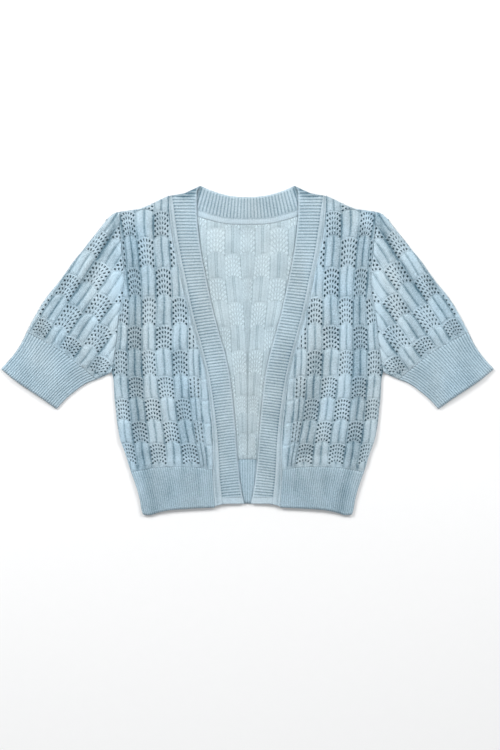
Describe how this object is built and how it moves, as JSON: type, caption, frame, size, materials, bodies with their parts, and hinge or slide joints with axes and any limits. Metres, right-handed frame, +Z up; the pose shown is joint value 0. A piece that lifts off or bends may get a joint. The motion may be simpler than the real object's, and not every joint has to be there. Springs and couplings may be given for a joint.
{
  "type": "short-sleeve cardigan",
  "caption": "Cropped open-front cardigan in fine lace and rib knit, with ribbed band, hem and cuffs, lying flat and face up.",
  "frame": {"origin": "on the surface the cardigan lies on, under the middle of its outline", "axes": "+Z up from the surface, +Y towards the neck, +X towards the wearer's left sleeve"},
  "size_m": [0.7386, 0.4936, 0.0089],
  "materials": {
    "lace_knit": "soft matt fine knit, lace and rib blocks",
    "inside_knit": "soft matt fine knit, reverse side",
    "welt_rib": "soft matt fine 1 by 1 rib",
    "band_rib": "soft matt 1 by 1 rib with a linked edge"
  },
  "bodies": {
    "root": {"back_panel": "inside_knit", "back_hem": "welt_rib", "back_neck_band": "band_rib", "front_panel_left": "lace_knit", "front_panel_right": "lace_knit", "front_hem_left": "welt_rib", "front_hem_right": "welt_rib", "front_band_left": "band_rib", "front_band_right": "band_rib", "sleeve_left": "lace_knit", "sleeve_right": "lace_knit", "cuff_left": "welt_rib", "cuff_right": "welt_rib"}
  },
  "joints": []
}
